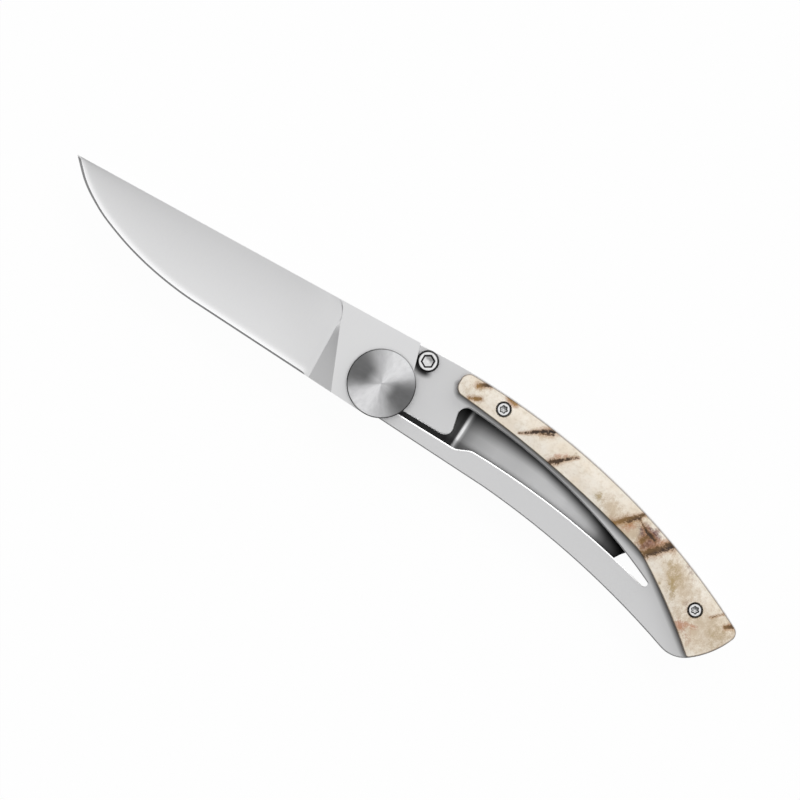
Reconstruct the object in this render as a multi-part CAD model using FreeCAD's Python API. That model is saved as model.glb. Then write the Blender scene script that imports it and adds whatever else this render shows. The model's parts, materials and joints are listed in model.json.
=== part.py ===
import FreeCAD
import Part
import math
import os

# Folding pocket knife, lying open on its back, in millimetres.
# The origin is on the pivot's axis, on the surface that the knife lies on.
# X runs from the blade's tip to the handle's butt, Y towards the blade's spine, Z towards the front.

# Overall sizes
handle_length = 106.6
spine_height = 13.3
blade_reach = 92.3
frame_thickness = 2.4
blade_thickness = 2.6
overrun = 1.0

# Pivot
disc_radius = 8.5
disc_thickness = 2.0
disc_rim = 0.25
post_radius = 2.2
bush_wall = 0.9
washer_radius = 4.4
washer_thickness = 0.3
running_clearance = 0.03
nut_radius = 6.0
nut_floor = 0.8
nut_rim = 0.4
spanner_radius = 0.8
spanner_spacing = 3.6
spanner_depth = 1.2

# Blade
tang_margin = 0.04
heel_angle = 4.43
belly_start = 50.0
tip_angle = 46.0
belly_shares = [(0.189, 0.058), (0.378, 0.156), (0.567, 0.303), (0.757, 0.511), (0.898, 0.747)]
plunge_reach = 16.4
plunge_corner = 6.0
plunge_foot_reach = 9.8
plunge_apex_height = 9.4
grind_angle = 2.78
taper_angle = 0.42
edge_half_thickness = 0.04
edge_angle = 18.0
edge_start = 15.6
edge_cut_width = 2.6
shoulder_lean = 15.0
shoulder_foot_height = 6.2
waist_bearing = 20.0
tang_waist_radius = 5.0
lock_face_reach = 2.6

# Handle frame, with outline points as shares of the handle's length and of the spine's height
nose_radius = 8.3
horn_angle = 110.0
horn_corner = 2.5
horn_reach = 6.4
horn_drop = 0.21
butt_upper_corner = 2.4
butt_lower_corner = 8.0
back_middle_shares = (0.5253, 0.6015)
butt_top_shares = (1.0, -0.8797)
butt_middle_shares = (0.9559, -1.481)
butt_foot_shares = (0.8865, -1.880)
belly_middle_shares = (0.5816, -1.1203)
belly_knee_shares = (0.3189, -0.7669)
tip_foot_height_share = -0.579
window_top_start_shares = (0.1832, 0.393)
window_top_middle_shares = (0.469, 0.018)
window_top_end_shares = (0.7627, -0.876)
tab_corner_shares = (0.1994, -0.2895)
slot_top_height_share = -0.231
bar_top_height_share = -0.3256
bar_step_foot_shares = (0.2205, -0.406)
bar_step_head_shares = (0.2560, -0.2905)
bar_top_middle_shares = (0.5066, -0.497)
root_top_shares = (0.758, -0.976)
root_foot_shares = (0.7345, -1.56)
tab_corner_round = 2.2
hook_round = 2.2
window_end_round = 0.7
step_round = 3.0
edge_break = 0.2

# Lock bar
bar_tip_slot = 0.8
lock_clearance = 0.05
root_clearance = 0.08
lock_angle = 1.03
detent_radius = 0.8
detent_stand = 0.45
detent_reach = 5.0
detent_drop = 5.6

# Stop screw
stop_head_radius = 2.75
stop_head_height = 3.0
stop_shank_radius = 1.5
stop_socket_flats = 3.0
stop_socket_depth = 1.7
stop_head_break = 0.25
stop_clearance = 0.05
stop_bearing = 54.2
stop_disc_gap = 1.4

# Horn scale and its two screws
scale_thickness = 3.4
scale_inset = 0.35
scale_nose_round = 2.3
scale_bend_round = 12.0
scale_tail_round = 0.8
scale_top_round = 0.6
scale_nose_foot_shares = (0.1555, 0.5326)
scale_nose_head_share = 1.1
scale_edge_middle_shares = (0.4503, 0.1459)
scale_bend_shares = (0.7060, -0.4170)
scale_heel_middle_shares = (0.8068, -0.9760)
scale_heel_end_shares = (0.9334, -1.850)
scale_clear_share = 1.1
scale_screw_shares = [(0.2749, 0.6654), (0.8818, -0.8797)]
scale_screw_names = ["front_scale_screw", "rear_scale_screw"]
screw_head_radius = 1.75
screw_head_height = 1.3
screw_shank_radius = 1.0
screw_head_break = 0.15
screw_sink = 0.15
counterbore_clearance = 0.25
shank_clearance = 0.1
star_radius = 0.62
star_lobe_radius = 0.24
star_lobes = 6
star_depth = 0.8
drill_slope = 31.0

# Pocket clip and its two screws
clip_thickness = 1.0
cloth_gap = 1.2
clip_nip_gap = 0.35
clip_flare = 0.9
clip_joint_clearance = 0.06
clip_bend_round = 0.9
clip_pad_corner = 1.5
clip_end_corner = 0.8
clip_pad_start_share = 0.066
clip_pad_end_share = 0.1835
clip_riser_end_share = 0.2092
clip_flat_end_share = 0.50
clip_nip_share = 0.60
clip_upper_start_share = 0.541
clip_upper_middle_shares = (0.4503, 0.235)
clip_upper_end_shares = (0.6961, -0.365)
clip_lower_start_share = -0.421
clip_lower_middle_shares = (0.4503, -0.549)
clip_lower_end_shares = (0.6645, -0.831)
clip_screw_height_shares = [0.32, -0.07]
clip_screw_reach_share = 0.124
clip_screw_names = ["upper_clip_screw", "lower_clip_screw"]
clip_head_radius = 1.8
clip_head_height = 0.8
clip_screw_depth = 1.7

# Levels, front to back, worked out from the thicknesses
frame_back = clip_thickness + cloth_gap
frame_front = frame_back + frame_thickness
blade_back = frame_front + washer_thickness + running_clearance
blade_front = blade_back + blade_thickness
blade_middle = blade_back + blade_thickness / 2
disc_back = blade_front + running_clearance + washer_thickness
disc_front = disc_back + disc_thickness
scale_front = frame_front + scale_thickness

# Radii that follow from a fit
tang_radius = disc_radius + tang_margin
bush_radius = post_radius + running_clearance + bush_wall
bar_tip_reach = lock_face_reach + lock_clearance

vector = FreeCAD.Vector
up = vector(0, 0, 1)
pivot = vector(0, 0, 0)
upright_share = 0.99


def at(shares):
    """A point given by its shares of the handle's length and of the spine's height."""
    return vector(handle_length * shares[0], spine_height * shares[1], 0)


def line(start, end):
    return Part.LineSegment(start, end).toShape()


def arc(start, middle, end):
    return Part.Arc(start, middle, end).toShape()


def plate(edges, bottom, top):
    """A flat plate between two levels, from its outline at level zero."""
    face = Part.Face(Part.Wire(edges))
    face.translate(up * bottom)
    return face.extrude(up * (top - bottom))


def polygon(points):
    return [line(a, b) for a, b in zip(points, points[1:] + points[:1])]


def rod(centre, radius, bottom, top):
    return Part.makeCylinder(radius, top - bottom, vector(centre.x, centre.y, bottom))


def round_corners(solid, corners, radius):
    """The plate with its upright edges at the given corners rounded."""
    upright = [e for e in solid.Edges if abs(e.tangentAt(e.FirstParameter).z) > upright_share]

    def nearest(corner):
        return min(upright, key=lambda e: (e.CenterOfMass - corner).projectToPlane(pivot, up).Length)

    return solid.makeFillet(radius, [nearest(corner) for corner in corners])


def edges_at(solid, level, slack):
    """The edges that lie flat at a level."""
    return [e for e in solid.Edges if max(abs(e.BoundBox.ZMin - level), abs(e.BoundBox.ZMax - level)) < slack]


def broken_rim(solid, level, size):
    """The solid with a small chamfer round its face at a level."""
    return solid.makeChamfer(size, edges_at(solid, level, size / 2))


def solid_over(base, top):
    """A solid between a flat polygon and its upright projection to a level."""
    lid = [vector(p.x, p.y, top) for p in base]
    rings = [Part.makePolygon(points + points[:1]) for points in (base, lid)]
    return Part.makeLoft(rings, True, True)


def mirrored(solid, level):
    return solid.mirror(vector(0, 0, level), up)


def drill_point(centre, radius, level, direction):
    """The cone that the drill leaves past the floor of a socket."""
    depth = radius * math.tan(math.radians(drill_slope))
    return Part.makeCone(radius, 0, depth, vector(centre.x, centre.y, level), direction)


def star_socket(centre, bottom, top):
    """A six-lobed screwdriver socket."""
    socket = rod(centre, star_radius, bottom, top)
    for lobe in range(star_lobes):
        turn = 2 * math.pi * lobe / star_lobes
        offset = vector(star_radius * math.cos(turn), star_radius * math.sin(turn), 0)
        socket = socket.fuse(rod(centre + offset, star_lobe_radius, bottom, top))
    return socket.removeSplitter()


stop_distance = disc_radius + stop_disc_gap + stop_head_radius
stop_turn = math.radians(stop_bearing)
stop_centre = vector(math.cos(stop_turn), math.sin(stop_turn), 0) * stop_distance
horn_top = stop_centre + vector(-horn_reach, stop_head_radius - horn_drop, 0)
scale_screw_centres = [at(shares) for shares in scale_screw_shares]
clip_screw_centres = [at((clip_screw_reach_share, height)) for height in clip_screw_height_shares]
detent_centre = vector(detent_reach, -detent_drop, 0)

# The straight edge touches the tang's round, so the closed blade meets the stop screw with the same line
heel = math.radians(heel_angle)
edge_direction = vector(-math.cos(heel), math.sin(heel), 0)
edge_foot = vector(-math.sin(heel), -math.cos(heel), 0) * tang_radius
kick_angle = math.acos((tang_radius + stop_head_radius + stop_clearance) / stop_distance)
closed_angle = math.degrees(stop_turn + kick_angle + math.pi / 2 + heel)

# The lock bar swings about a line across its root
root_top = at(root_top_shares)
root_foot = at(root_foot_shares)
root_axis = (root_foot - root_top).normalize()
root_middle = (root_top + root_foot) / 2 + up * ((frame_back + frame_front) / 2)


def edge_point(reach):
    """The point of the straight edge at a distance in front of the pivot."""
    return edge_foot + edge_direction * ((reach + edge_foot.x) / math.cos(heel))


def edge_curve():
    """The belly of the edge, from the end of its straight stretch to the tip."""
    start = edge_point(belly_start)
    tip = vector(-blade_reach, spine_height, 0)
    points = [start]
    for along, rise in belly_shares:
        points.append(vector(start.x + (tip.x - start.x) * along, start.y + (tip.y - start.y) * rise, 0))
    points.append(tip)
    tip_turn = math.radians(tip_angle)
    curve = Part.BSplineCurve()
    curve.interpolate(
        Points=points,
        InitialTangent=edge_direction,
        FinalTangent=vector(-math.cos(tip_turn), math.sin(tip_turn), 0),
    )
    return curve


def shoulder_point(height):
    """The point at a height on the shoulder that meets the stop screw when the knife is open."""
    lean = math.radians(shoulder_lean)
    reach = stop_head_radius + stop_clearance
    touch = stop_centre - vector(math.cos(lean), math.sin(lean), 0) * reach
    return vector(touch.x - (height - touch.y) * math.tan(lean), height, 0)


def half_thickness(x, y):
    """Half the blade's thickness on its ground flank."""
    drop = math.tan(math.radians(grind_angle)) * (spine_height - y)
    return blade_thickness / 2 - drop + math.tan(math.radians(taper_angle)) * (x + plunge_reach)


def grind_tool():
    """What the grinder takes off the front flank, ending at a round-cornered plunge."""
    level = blade_middle
    far, near = -blade_reach - overrun, -plunge_reach
    low, high = -tang_radius - overrun, spine_height + overrun
    corners = [(far, low), (near, low), (near, high), (far, high)]
    base = [vector(x, y, level + half_thickness(x, y)) for x, y in corners]
    tool = solid_over(base, blade_front + overrun)
    return round_corners(tool, [vector(near, high, 0)], plunge_corner)


def plunge_tool():
    """The slanting facet between the ground flank and the flat of the blade's root."""
    low = edge_point(plunge_foot_reach).y
    apex = vector(-plunge_reach, plunge_apex_height, blade_front)
    inner = vector(-plunge_reach, low, blade_middle + half_thickness(-plunge_reach, low))
    outer = vector(-plunge_foot_reach, low, blade_front)
    beyond = 1 + overrun / (apex.y - low)
    base = [apex, apex + (inner - apex) * beyond, apex + (outer - apex) * beyond]
    return solid_over(base, blade_front + overrun)


def sharpening_tool():
    """What the whetstone takes off the front of the edge, swept along it to the tip."""
    curve = edge_curve()
    tip = curve.EndPoint
    beyond = tip + curve.tangent(curve.LastParameter)[0] * overrun
    start = edge_point(edge_start)
    path = Part.Wire([line(start, curve.StartPoint), curve.toShape(), line(tip, beyond)])
    path.translate(up * blade_middle)
    inward = vector(edge_direction.y, -edge_direction.x, 0)
    slope = math.tan(math.radians(edge_angle))

    def place(depth, rise):
        return start + inward * depth + up * (blade_middle + edge_half_thickness + rise)

    low = -overrun * slope
    high = edge_cut_width * slope
    corners = [place(-overrun, low), place(edge_cut_width, high), place(-overrun, high)]
    sweep = Part.BRepOffsetAPI.MakePipeShell(path)
    sweep.setBiNormalMode(up)
    sweep.setTransitionMode(1)
    sweep.add(Part.makePolygon(corners + corners[:1]))
    sweep.build()
    sweep.makeSolid()
    return sweep.shape()


def blade():
    tip = vector(-blade_reach, spine_height, 0)
    curve = edge_curve()
    lock_foot = vector(lock_face_reach, -math.sqrt(tang_radius ** 2 - lock_face_reach ** 2), 0)
    lock_head = vector(lock_face_reach, -math.sqrt(tang_waist_radius ** 2 - lock_face_reach ** 2), 0)
    shoulder_head = shoulder_point(spine_height)
    shoulder_foot = shoulder_point(shoulder_foot_height)
    waist = math.radians(waist_bearing)
    waist_head = vector(math.cos(waist), math.sin(waist), 0) * tang_waist_radius
    outline = [
        line(tip, shoulder_head),
        line(shoulder_head, shoulder_foot),
        line(shoulder_foot, waist_head),
        arc(waist_head, vector(tang_waist_radius, 0, 0), lock_head),
        line(lock_head, lock_foot),
        arc(lock_foot, vector(0, -tang_radius, 0), edge_foot),
        line(edge_foot, curve.StartPoint),
        curve.toShape(),
    ]
    body = plate(outline, blade_back, blade_front)
    for tool in [grind_tool(), plunge_tool(), sharpening_tool()]:
        body = body.cut(tool)
        body = body.cut(mirrored(tool, blade_middle))
    body = body.cut(rod(pivot, bush_radius, blade_back - overrun, blade_front + overrun))
    detent = rod(detent_centre, detent_radius, blade_back - overrun, blade_back + detent_stand)
    detent.rotate(pivot, up, -closed_angle)
    return body.cut(detent)


def back_edge():
    """The arched edge of the handle, from the stop screw's horn to the butt."""
    return arc(horn_top, at(back_middle_shares), at(butt_top_shares))


def butt_edge():
    return arc(at(butt_top_shares), at(butt_middle_shares), at(butt_foot_shares))


def handle_outline():
    """The outer edge of the frame plate, the lock bar's included."""
    horn = math.radians(horn_angle)
    tip_middle = bar_tip_reach - bar_tip_slot / 2
    tip_foot = vector(tip_middle, spine_height * tip_foot_height_share, 0)
    nose_start = vector(tip_middle, -math.sqrt(nose_radius ** 2 - tip_middle ** 2), 0)
    nose_end = vector(math.cos(horn), math.sin(horn), 0) * nose_radius
    return [
        back_edge(),
        butt_edge(),
        arc(at(butt_foot_shares), at(belly_middle_shares), at(belly_knee_shares)),
        line(at(belly_knee_shares), tip_foot),
        line(tip_foot, nose_start),
        arc(nose_start, vector(-nose_radius, 0, 0), nose_end),
        line(nose_end, horn_top),
    ]


def handle_plate(bottom, top):
    """The frame plate before the window is cut, with its corners rounded."""
    solid = plate(handle_outline(), bottom, top)
    solid = round_corners(solid, [at(butt_top_shares)], butt_upper_corner)
    solid = round_corners(solid, [at(butt_foot_shares)], butt_lower_corner)
    return round_corners(solid, [horn_top], horn_corner)


def window_cut():
    """The cut between the frame and the lock bar: tip slot, long slot and window."""
    bottom, top = frame_back - overrun, frame_front + overrun
    low = -nose_radius - overrun
    bar_corner = vector(bar_tip_reach, spine_height * bar_top_height_share, 0)
    slot_left = bar_tip_reach - bar_tip_slot
    slot_corner = vector(slot_left, spine_height * slot_top_height_share, 0)
    outline = [
        line(vector(slot_left, low, 0), vector(bar_tip_reach, low, 0)),
        line(vector(bar_tip_reach, low, 0), bar_corner),
        line(bar_corner, at(bar_step_foot_shares)),
        line(at(bar_step_foot_shares), at(bar_step_head_shares)),
        arc(at(bar_step_head_shares), at(bar_top_middle_shares), root_top),
        line(root_top, at(window_top_end_shares)),
        arc(at(window_top_end_shares), at(window_top_middle_shares), at(window_top_start_shares)),
        line(at(window_top_start_shares), at(tab_corner_shares)),
        line(at(tab_corner_shares), slot_corner),
        line(slot_corner, vector(slot_left, low, 0)),
    ]
    cut = plate(outline, bottom, top)
    cut = round_corners(cut, [at(tab_corner_shares)], tab_corner_round)
    cut = round_corners(cut, [at(window_top_start_shares)], hook_round)
    cut = round_corners(cut, [at(bar_step_foot_shares), at(bar_step_head_shares)], step_round)
    cut = round_corners(cut, [at(window_top_end_shares)], window_end_round)
    return cut


def root_slit():
    """The thin slit across the lock bar's root, from the window to the outer edge."""
    beside = vector(root_clearance, 0, 0)
    beyond = root_foot + root_axis * overrun
    before = root_top - root_axis * overrun
    outline = polygon([before, beyond, beyond + beside, before + beside])
    return plate(outline, frame_back - overrun, frame_front + overrun)


def frame_and_bar():
    """The frame and the lock bar, from one plate with its front edges broken."""
    whole = handle_plate(frame_back, frame_front).cut(window_cut())
    whole = broken_rim(whole, frame_front, edge_break)
    bar, frame = sorted(whole.cut(root_slit()).Solids, key=lambda s: s.Volume)
    through = [rod(pivot, post_radius, frame_back - overrun, frame_front + overrun)]
    through.append(rod(stop_centre, stop_shank_radius, frame_back - overrun, frame_front + overrun))
    for centre in scale_screw_centres:
        through.append(rod(centre, screw_shank_radius, frame_back - overrun, frame_front + overrun))
    for centre in clip_screw_centres:
        through.append(rod(centre, screw_shank_radius, frame_back - overrun, frame_back + clip_screw_depth))
    for hole in through:
        frame = frame.cut(hole)
    seat = rod(detent_centre, detent_radius, detent_level() - detent_radius, frame_front + overrun)
    bar = bar.cut(seat)
    return frame, locked(bar)


def locked(shape):
    """A piece of the lock bar, swung forward behind the open blade's lock face."""
    shape.rotate(root_middle, root_axis, -lock_angle)
    return shape


def detent_level():
    """The height of the detent ball's centre in the flat bar."""
    return frame_front + detent_stand - detent_radius


def detent_ball():
    return locked(Part.makeSphere(detent_radius, detent_centre + up * detent_level()))


def pivot_disc():
    disc = broken_rim(rod(pivot, disc_radius, disc_back, disc_front), disc_front, disc_rim)
    return disc.fuse(rod(pivot, post_radius, nut_floor, disc_back)).removeSplitter()


def washer(bottom):
    ring = rod(pivot, washer_radius, bottom, bottom + washer_thickness)
    return ring.cut(rod(pivot, post_radius + running_clearance, bottom - overrun, bottom + overrun))


def pivot_bush():
    bush = rod(pivot, bush_radius, blade_back, blade_front)
    return bush.cut(rod(pivot, post_radius + running_clearance, blade_back - overrun, blade_front + overrun))


def pivot_nut():
    """The flat nut that the knife lies on, with two holes for a pin spanner."""
    nut = broken_rim(rod(pivot, nut_radius, 0.0, frame_back), 0.0, nut_rim)
    nut = nut.cut(rod(pivot, post_radius, nut_floor, frame_back + overrun))
    for side in (-1, 1):
        nut = nut.cut(rod(vector(side * spanner_spacing, 0, 0), spanner_radius, -overrun, spanner_depth))
    return nut


def stop_screw():
    """The socket screw that stops the blade when open and when closed."""
    head = rod(stop_centre, stop_head_radius, frame_front, frame_front + stop_head_height)
    head = broken_rim(head, frame_front + stop_head_height, stop_head_break)
    screw = head.fuse(rod(stop_centre, stop_shank_radius, frame_back, frame_front)).removeSplitter()
    corner = stop_socket_flats / math.sqrt(3)
    floor = frame_front + stop_head_height - stop_socket_depth
    hexagon = []
    for i in range(6):
        turn = math.pi * i / 3
        hexagon.append(stop_centre + vector(math.cos(turn), math.sin(turn), 0) * corner)
    screw = screw.cut(plate(polygon(hexagon), floor, floor + stop_socket_depth + overrun))
    return screw.cut(drill_point(stop_centre, stop_socket_flats / 2, floor, -up))


def inset_disc(edge):
    """A disc as thick as the scale, a little inside a round edge of the handle."""
    return rod(edge.Curve.Center, edge.Curve.Radius - scale_inset, frame_front, scale_front)


def horn_scale():
    """The horn slab on the frame's back limb, whose lower edge shields the closed blade."""
    nose_foot = at(scale_nose_foot_shares)
    nose_head = at((scale_nose_foot_shares[0], scale_nose_head_share))
    far_top = at((scale_clear_share, scale_nose_head_share))
    far_foot = at((scale_clear_share, scale_heel_end_shares[1]))
    region = [
        arc(nose_foot, at(scale_edge_middle_shares), at(scale_bend_shares)),
        arc(at(scale_bend_shares), at(scale_heel_middle_shares), at(scale_heel_end_shares)),
        line(at(scale_heel_end_shares), far_foot),
        line(far_foot, far_top),
        line(far_top, nose_head),
        line(nose_head, nose_foot),
    ]
    scale = plate(region, frame_front, scale_front)
    scale = scale.common(inset_disc(back_edge()))
    butt_left = at(butt_foot_shares).x
    past_butt = [vector(butt_left, far_foot.y, 0), far_foot, far_top, vector(butt_left, far_top.y, 0)]
    scale = scale.cut(plate(polygon(past_butt), frame_front, scale_front).cut(inset_disc(butt_edge())))
    scale = round_corners(scale.Solids[0], [nose_foot, nose_head], scale_nose_round)
    scale = round_corners(scale, [at(butt_top_shares)], butt_upper_corner - scale_inset)
    scale = round_corners(scale, [at(scale_bend_shares)], scale_bend_round)
    scale = round_corners(scale, [at(scale_heel_end_shares)], scale_tail_round)
    scale = scale.makeFillet(scale_top_round, edges_at(scale, scale_front, scale_top_round / 2))
    floor = scale_front - screw_sink - screw_head_height
    for centre in scale_screw_centres:
        counterbore = screw_head_radius + counterbore_clearance
        scale = scale.cut(rod(centre, counterbore, floor, scale_front + overrun))
        scale = scale.cut(rod(centre, screw_shank_radius + shank_clearance, frame_front - overrun, floor))
    return scale


def scale_screw(centre):
    top = scale_front - screw_sink
    head = broken_rim(rod(centre, screw_head_radius, top - screw_head_height, top), top, screw_head_break)
    screw = head.fuse(rod(centre, screw_shank_radius, frame_back, top - screw_head_height)).removeSplitter()
    screw = screw.cut(star_socket(centre, top - star_depth, top + overrun))
    return screw.cut(drill_point(centre, star_radius, top - star_depth, -up))


def clip_pad():
    """The clip's fixed end, screwed to the back of the frame."""
    left = handle_length * clip_pad_start_share
    right = handle_length * clip_pad_end_share
    low = spine_height * clip_lower_start_share
    high = spine_height * clip_upper_start_share
    corners = [vector(left, low, 0), vector(right, low, 0), vector(right, high, 0), vector(left, high, 0)]
    pad = plate(polygon(corners), frame_back - clip_thickness, frame_back)
    pad = round_corners(pad, [corners[0], corners[3]], clip_pad_corner)
    for centre in clip_screw_centres:
        pad = pad.cut(rod(centre, screw_shank_radius + shank_clearance, -overrun, frame_back + overrun))
    return pad


def clip_arm():
    """The clip's sprung arm: a riser, the flat that the knife lies on, the nip and a flared end."""
    half = clip_thickness / 2
    start = handle_length * clip_pad_end_share + clip_joint_clearance
    upper_end = at(clip_upper_end_shares)
    lower_end = at(clip_lower_end_shares)
    stations = [
        (start, frame_back - half),
        (handle_length * clip_riser_end_share, half),
        (handle_length * clip_flat_end_share, half),
        (handle_length * clip_nip_share, frame_back - clip_nip_gap - half),
        (upper_end.x + overrun, frame_back - clip_nip_gap - half - clip_flare),
    ]
    low, high = -spine_height, spine_height
    front = [vector(x, low, z + half) for x, z in stations]
    back = [vector(x, low, z - half) for x, z in reversed(stations)]
    strip = Part.Face(Part.Wire(polygon(front + back))).extrude(vector(0, high - low, 0))
    bends = []
    for x, z in stations[1:-1]:
        for edge in strip.Edges:
            middle = edge.CenterOfMass
            if abs(edge.tangentAt(edge.FirstParameter).y) > upright_share and abs(middle.x - x) < half:
                bends.append(edge)
    strip = strip.makeFillet(clip_bend_round, bends)
    upper_start = vector(start, spine_height * clip_upper_start_share, 0)
    lower_start = vector(start, spine_height * clip_lower_start_share, 0)
    outline = [
        line(lower_start, upper_start),
        arc(upper_start, at(clip_upper_middle_shares), upper_end),
        line(upper_end, lower_end),
        arc(lower_end, at(clip_lower_middle_shares), lower_start),
    ]
    plan = plate(outline, -overrun, frame_back + overrun)
    plan = round_corners(plan, [upper_end, lower_end], clip_end_corner)
    return strip.common(plan).Solids[0]


def clip_screw(centre):
    top = frame_back - clip_thickness
    low = top - clip_head_height
    head = broken_rim(rod(centre, clip_head_radius, low, top), low, screw_head_break)
    screw = head.fuse(rod(centre, screw_shank_radius, top, frame_back + clip_screw_depth)).removeSplitter()
    screw = screw.cut(star_socket(centre, low - overrun, low + star_depth))
    return screw.cut(drill_point(centre, star_radius, low + star_depth, up))


def main():
    frame, bar = frame_and_bar()
    nodes = {
        "blade": blade(),
        "pivot_bush": pivot_bush(),
        "handle_frame": frame,
        "lock_bar": bar,
        "detent_ball": detent_ball(),
        "pivot_disc": pivot_disc(),
        "front_washer": washer(blade_front + running_clearance),
        "rear_washer": washer(frame_front),
        "pivot_nut": pivot_nut(),
        "stop_screw": stop_screw(),
        "horn_scale": horn_scale(),
        "clip_pad": clip_pad(),
        "clip_arm": clip_arm(),
    }
    for name, centre in zip(scale_screw_names, scale_screw_centres):
        nodes[name] = scale_screw(centre)
    for name, centre in zip(clip_screw_names, clip_screw_centres):
        nodes[name] = clip_screw(centre)
    os.makedirs("parts", exist_ok=True)
    for name, shape in nodes.items():
        shape.exportStep(os.path.join("parts", name + ".step"))
        box = shape.BoundBox
        print(name, len(shape.Solids), shape.isValid(), round(shape.Volume, 2), box)
    print("closed angle", closed_angle)
    print("lock bar axis", root_middle, root_axis)
    print("frame back", frame_back, "front", frame_front, "blade", blade_back, blade_front)
    print("clip hinge", handle_length * clip_pad_end_share, frame_back - clip_thickness / 2)


main()
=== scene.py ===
import json
import math

import bmesh
import bpy
import numpy as np
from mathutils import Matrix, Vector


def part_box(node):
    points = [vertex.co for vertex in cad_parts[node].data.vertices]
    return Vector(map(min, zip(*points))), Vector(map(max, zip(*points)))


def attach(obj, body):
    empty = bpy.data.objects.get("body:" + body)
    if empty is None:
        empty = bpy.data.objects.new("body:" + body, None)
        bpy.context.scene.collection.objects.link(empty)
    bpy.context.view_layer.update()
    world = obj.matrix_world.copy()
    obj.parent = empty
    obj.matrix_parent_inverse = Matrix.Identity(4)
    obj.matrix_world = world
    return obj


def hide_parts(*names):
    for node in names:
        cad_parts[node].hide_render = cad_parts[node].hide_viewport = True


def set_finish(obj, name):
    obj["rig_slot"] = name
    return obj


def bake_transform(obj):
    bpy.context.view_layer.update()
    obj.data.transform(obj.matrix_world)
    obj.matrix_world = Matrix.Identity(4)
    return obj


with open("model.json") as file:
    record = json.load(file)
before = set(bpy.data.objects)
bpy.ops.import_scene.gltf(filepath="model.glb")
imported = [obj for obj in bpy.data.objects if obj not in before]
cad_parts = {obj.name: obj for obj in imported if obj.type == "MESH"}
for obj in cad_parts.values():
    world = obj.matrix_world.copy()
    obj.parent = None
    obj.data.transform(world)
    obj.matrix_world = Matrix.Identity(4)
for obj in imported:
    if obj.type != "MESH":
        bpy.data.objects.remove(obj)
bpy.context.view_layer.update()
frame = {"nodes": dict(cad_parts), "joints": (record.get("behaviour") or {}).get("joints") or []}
nodes = frame["nodes"]
joints = {joint["name"]: joint for joint in frame["joints"]}
mm = 0.001

# Handle frame.
# One stainless plate, cut through by laser and blasted to an even satin grey, with its edges dubbed
# off. It carries the pivot, the stop screw, the horn scale and the clip.
plate_back = 2.2
plate_front = 4.6
back_edge_height = 0.10
front_edge_height = 0.13
edge_insets = (0.3, 0.0, 0.0, 1.0)
edge_levels = (plate_back, plate_back + back_edge_height, plate_front - front_edge_height, plate_front)
back_edge_width = 0.10
belly_edge_width = 0.28
picture_up = (0.28, 0.96)
flat_slack = 0.01
gentle_turn = 0.3
root_half_length = 5.12
root_reach = 0.12
edge_run_out = 1.2
weld_gap = 0.002
sliver = 0.001
crisp_turn = math.radians(14.0)
hole_sides = 48
cutter_spare = 1.0
pivot_hole = 2.2
stop_hole = 1.5
thin_hole = 1.0
clip_hole_depth = 1.7
frame_tone = (0.775, 0.775, 0.78)
blasted_grain = (7000.0,) * 3
cloud_grain = (90.0,) * 3
skin_depth = 0.5
front_skin = ((plate_front - skin_depth) * mm, plate_front * mm)
pocket_side = (-0.53, -0.85, 0.0)
pocket_spread = (0.10, 0.70)
pocket_reach = (2.9 * mm, 4.6 * mm)
pocket_loss = 0.92
arch_stations = (26.0, 50.0, 76.0)
tail_stations = (84.0, 94.0)
nose_edge = ((17.3, 8.0), (16.6, 9.5))
nose_fade = (1.6 * mm, 4.1 * mm)
shadow_floor_tone = 0.29
shadow_rise = 0.50
shadow_reach = 2.0


def read_out(items, field, kind=np.float32):
    """A field of three numbers of all of a mesh's items, as rows."""
    values = np.empty(3 * len(items), kind)
    items.foreach_get(field, values)
    return values.reshape(-1, 3)


def cad_triangles(name):
    """A CAD node's points in millimetres and its triangles, with equal points made one."""
    mesh = nodes[name].data
    mesh.calc_loop_triangles()
    points = np.round(read_out(mesh.vertices, "co") / mm, 3)
    single, same = np.unique(points, axis=0, return_inverse=True)
    return single, same.ravel()[read_out(mesh.loop_triangles, "vertices", np.int32)]


def outline(points, triangles, level):
    """The longest closed edge of the flat face at a level, anticlockwise from above, as plan points."""
    flat = triangles[(np.abs(points[triangles][:, :, 2] - level) < flat_slack).all(axis=1)]
    sides = set(map(tuple, np.concatenate((flat[:, :2], flat[:, 1:], flat[:, ::-2])).tolist()))
    after = {a: b for a, b in sides if (b, a) not in sides}
    longest = []
    while after:
        here = next(iter(after))
        loop = []
        while here in after:
            loop.append(here)
            here = after.pop(here)
        longest = max(longest, loop, key=len)
    plan = points[longest][:, :2]
    ahead = np.roll(plan, -1, axis=0)
    area = np.sum(plan[:, 0] * ahead[:, 1] - plan[:, 1] * ahead[:, 0])
    return plan if area > 0 else plan[::-1]


def eased(values, low, high):
    """A smooth step from 0 at low to 1 at high."""
    share = np.clip((values - low) / (high - low), 0.0, 1.0)
    return share * share * (3 - 2 * share)


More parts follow.
